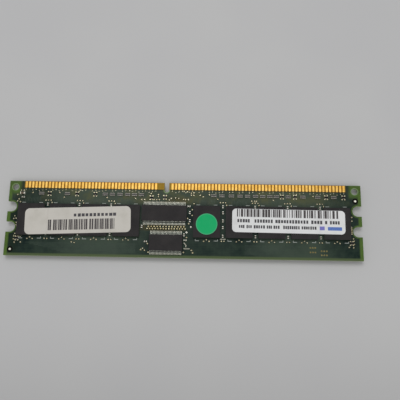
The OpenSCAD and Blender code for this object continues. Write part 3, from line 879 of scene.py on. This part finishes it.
def fiducial_rings():
    """A dark ring round each fiducial, where the mask and the planes are open."""
    bm = bmesh.new()
    outer, inner, thickness = 1.1, 0.43, 0.012
    for low, high in islands("fiducial_dots"):
        x0, x1, d0, d1 = flat(low, high)
        back = low.z + high.z < FRONT_Z + BACK_Z
        ring_solid(bm, (x0 + x1) / 2, (d0 + d1) / 2, outer, inner, thickness, back, sides=32)
    finish_piece(bm, "fiducial_rings", SCORCH)


# ---------------------------------------------------------------- labels

def sag(x):
    """How far a label dips between two packages, in millimetres."""
    reach, deepest = 0.95, 0.14
    dip = 0.0
    for gap in GAP_X:
        away = abs(x - gap)
        if away < reach:
            dip += deepest * math.cos(away / reach * math.pi / 2) ** 2
    return -dip


class Label:
    """A thin sheet stuck across the packages, with u along it and v towards the contacts."""

    GLUE, THICKNESS = 0.012, 0.09  # the heights of the sheet's two faces over the packages
    CURL, CURL_REACH = 0.05, 2.5  # how far the ends lift, and over what length
    INK_SUNK, INK_RAISED = 0.015, 0.016  # how far ink reaches into and out of the sheet
    STATION, INK_STATION = 0.2, 0.16  # the steps along u in which the sheet and the ink follow the dips

    def __init__(self, node, length, width, corner, turn):
        self.node, self.length, self.width, self.corner = node, length, width, corner
        self.x, self.depth = middle(node)
        self.turn = math.radians(turn)

    def spot(self, u, v, height):
        x = self.x + u * math.cos(self.turn) - v * math.sin(self.turn)
        depth = self.depth - (u * math.sin(self.turn) + v * math.cos(self.turn))
        z = CHIP_TOP + (height + sag(x)) * MM
        return Vector((x * MM, EDGE_Y - depth * MM, z))

    def stations(self):
        """Where along u the sheet has a cross section, closer together at its round corners."""
        half, steps = self.length / 2, 7
        ends = [half - self.corner * (1 - math.sin(math.pi / 2 * k / steps)) for k in range(steps + 1)]
        span = half - self.corner
        inner = int(span * 2 / self.STATION)
        return [-u for u in reversed(ends)] + [-span + 2 * span * k / inner for k in range(1, inner)] + ends

    def half_width(self, u):
        past = abs(u) - (self.length / 2 - self.corner)
        if past <= 0:
            return self.width / 2
        return self.width / 2 - self.corner + math.sqrt(max(0.0, self.corner ** 2 - past ** 2))

    def sheet(self, name, material, across=8):
        """Builds the sheet itself, in place of the plain one from the CAD."""
        bm = bmesh.new()
        rings = []
        for u in self.stations():
            half = self.half_width(u)
            lift = self.CURL * max(0.0, (abs(u) - self.length / 2 + self.CURL_REACH) / self.CURL_REACH) ** 2
            low, high = self.GLUE + lift, self.THICKNESS + lift
            row = [-half + 2 * half * k / across for k in range(across + 1)]
            rings.append([self.spot(u, v, low) for v in row] + [self.spot(u, v, high) for v in reversed(row)])
        face_loop(bm, rings)
        piece = finish_piece(bm, name, material)
        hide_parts(self.node)

    def ink(self, name, bars, material):
        """Prints bars, given as u from and to, and v from and to, split so that each follows the sheet."""
        bm = bmesh.new()
        low, high = self.THICKNESS - self.INK_SUNK, self.THICKNESS + self.INK_RAISED
        for u0, u1, v0, v1 in bars:
            pieces = max(1, math.ceil((u1 - u0) / self.INK_STATION))
            corners = ((v0, low), (v1, low), (v1, high), (v0, high))
            steps = [u0 + (u1 - u0) * k / pieces for k in range(pieces + 1)]
            face_loop(bm, [[self.spot(u, v, height) for v, height in corners] for u in steps])
        finish_piece(bm, name, material)


def stripes(u0, u1, v0, v1, module, darks, lights):
    """A band of stripes of random widths, counted in modules, that carries no code."""
    bars, u = [], u0
    while u < u1 - module:
        dark = module * random.choice(darks)
        bars.append((u, min(u + dark, u1), v0, v1))
        u += dark + module * random.choice(lights)
    return bars


def groups_of_stripes(u0, u1, v0, v1, groups):
    """Stripe groups with clear gaps between them."""
    bars, width, filled, module = [], (u1 - u0) / groups, 0.82, 0.15
    for g in range(groups):
        start = u0 + g * width
        bars += stripes(start, start + width * filled, v0, v1, module, (2, 3, 3, 4, 4), (1, 1, 1, 1, 2))
    return bars


def dashes(words, v, tall, cell):
    """Rows of plain blocks that stand for words without spelling any."""
    bars = []
    for u0, u1 in words:
        count = max(1, round((u1 - u0) / cell))
        step = (u1 - u0) / count
        for i in range(count):
            u, half = u0 + i * step, tall * random.uniform(0.4, 0.5)
            bars.append((u, u + step * random.uniform(0.62, 0.82), v - half, v + half))
    return bars


def labels():
    """The two paper labels. Their sizes and the places of the printing are from the photo."""
    serial = Label("serial_label", length=39.7, width=9.9, corner=1.8, turn=2.2)
    serial.sheet("serial_label_sheet", GREY_LABEL)
    serial.ink("serial_stripes", groups_of_stripes(-11.1, 14.1, -3.6, 0.4, groups=13), BLACK_INK)
    serial.ink("serial_dashes", dashes([(-1.5, 14.7)], 1.95, tall=1.25, cell=1.46), WORD_INK)

    part = Label("part_label", length=41.9, width=8.9, corner=1.5, turn=-0.45)
    part.sheet("part_label_sheet", WHITE_LABEL)
    code = stripes(-19.2, 19.0, 1.4, 4.35, 0.21, (1, 1, 2, 3, 4), (1, 1, 2, 2, 3))
    part.ink("part_stripes", code, BLACK_INK)
    first = [(-19.0, -14.1), (-12.6, -5.6), (-4.9, 7.6), (8.4, 12.8), (13.5, 14.5), (15.3, 19.2)]
    second = [(-18.4, -16.2), (-15.6, -13.5), (-12.9, -8.6), (-8.1, -6.0), (-5.6, -3.2), (-2.0, 4.3),
              (4.8, 10.4)]
    part.ink("part_dashes_first", dashes(first, -0.1, tall=1.35, cell=1.02), WORD_INK)
    part.ink("part_dashes_second", dashes(second, -2.3, tall=1.3, cell=0.82), WORD_INK)
    part.ink("part_block_small", [(11.5, 13.3, -3.0, -1.6)], PURPLE_INK)
    part.ink("part_block_long", [(14.5, 19.7, -3.05, -1.75)], BLUE_INK)


def round_sticker():
    """A punched paper disc with a slightly raised rim."""
    bm = bmesh.new()
    x, depth = middle("round_sticker")
    left, right, _, _ = extent("round_sticker")
    radius, pole, sides = (right - left) / 2, 0.0001, 72
    lift = (CHIP_TOP - FRONT_Z) / MM
    profile = [(pole, 0.01), (radius * 0.97, 0.01), (radius, 0.03), (radius, 0.075),
               (radius * 0.985, 0.092), (radius * 0.9, 0.085), (radius * 0.5, 0.082), (pole, 0.084)]
    face_loop(bm, [[place(x + r * cos, depth + r * sin, lift + h) for cos, sin in unit_circle(sides)]
                   for r, h in profile])
    piece = finish_piece(bm, "round_sticker_disc", GREEN_LABEL)
    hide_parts("round_sticker")


# ---------------------------------------------------------------- the whole module

def details(side):
    """What both faces of the board carry."""
    back = side == "back"
    balls(side)
    fillets(f"network_solder_{side}", f"network_terminals_{side}", back, reach=0.08, climb=0.12,
            material=DULL)
    overcoats(side)
    small_network_lands(side)
    fillets(f"capacitor_solder_{side}", f"capacitor_bands_{side}", back, reach=0.12, climb=0.2)
    contact_necks(side)
    stub_traces(side)
    bus_traces(side)
    legend(side)
    via_lands(f"vias_{side}", EDGE_VIAS + LOGIC_VIAS, 0.25, back)
    via_lands(f"package_vias_{side}", triplets() + gap_vias() + corner_groups() + end_column(), 0.24, back)
    via_lands(f"driver_vias_{side}", driver_rows(), 0.25, back, GOLD_LAND)


def build():
    """The CAD parts' materials, and all the pieces that are added to them."""
    dress_cad_parts()
    for side in ("front", "back"):
        details(side)
    lead_pads("register_front_leads", back=False)
    lead_pads("clock_driver_leads", back=False)
    lead_pads("register_back_leads", back=True)
    lead_pads("settings_memory_leads", back=True)
    fillets("filter_solder", "filter_capacitor_bands", False, reach=0.14, climb=0.3, material=BRIGHT)
    via_lands("bright_lands", BRIGHT_LANDS, 0.34, material=BRIGHT)
    driver_copper()
    fiducial_rings()
    labels()
    round_sticker()


# ---------------------------------------------------------------- floor, light and camera

def stage():
    """The table that the module lies on."""
    bm = bmesh.new()
    bmesh.ops.create_grid(bm, x_segments=8, y_segments=8, size=1.5)
    table = to_object(bm, "table_top", table_look())
    table.location.z = cad_box[0][2] - 0.00002


def lamp(name, position, size, power):
    """A square lamp that faces the module."""
    data = bpy.data.lights.new(name, "AREA")
    data.size = size
    data.energy = power
    light = bpy.data.objects.new(name, data)
    light.location = position
    light.rotation_euler = (-Vector(position)).to_track_quat("-Z", "Y").to_euler()
    bpy.context.scene.collection.objects.link(light)


def lights():
    """Two soft lamps high over the table, in a bright plain room."""
    lamp("window", position=(-0.1, 0.66, 1.3), size=0.65, power=6.0)
    lamp("far_wall", position=(0.15, -0.75, 1.3), size=1.0, power=3.4)
    world = bpy.data.worlds.new("room")
    world.use_nodes = True
    background = world.node_tree.nodes["Background"].inputs
    background["Color"].default_value = (1.0, 1.0, 1.0, 1.0)
    background["Strength"].default_value = 0.44
    bpy.context.scene.world = world


def camera():
    """The view from the photo: nearly overhead, tipped back from the near side."""
    data = bpy.data.cameras.new("camera")
    data.lens = 48.6
    data.sensor_width = 36.0
    view = bpy.data.objects.new("camera", data)
    mask_top = Vector((0.0, 0.0, FRONT_Z))
    spot = Vector((9.78, -38.45, 198.87)) * MM + mask_top
    target = Vector((6.07, 7.79, 0.0)) * MM + mask_top
    level = Vector((0.9997, 0.0189, -0.0142))
    back = (spot - target).normalized()
    up = back.cross(level).normalized()
    right = up.cross(back)
    view.matrix_world = Matrix.Translation(spot) @ Matrix((right, up, back)).transposed().to_4x4()
    bpy.context.scene.collection.objects.link(view)
    bpy.context.scene.camera = view


build()
stage()
lights()
camera()
bpy.context.scene.view_settings.view_transform = "Standard"
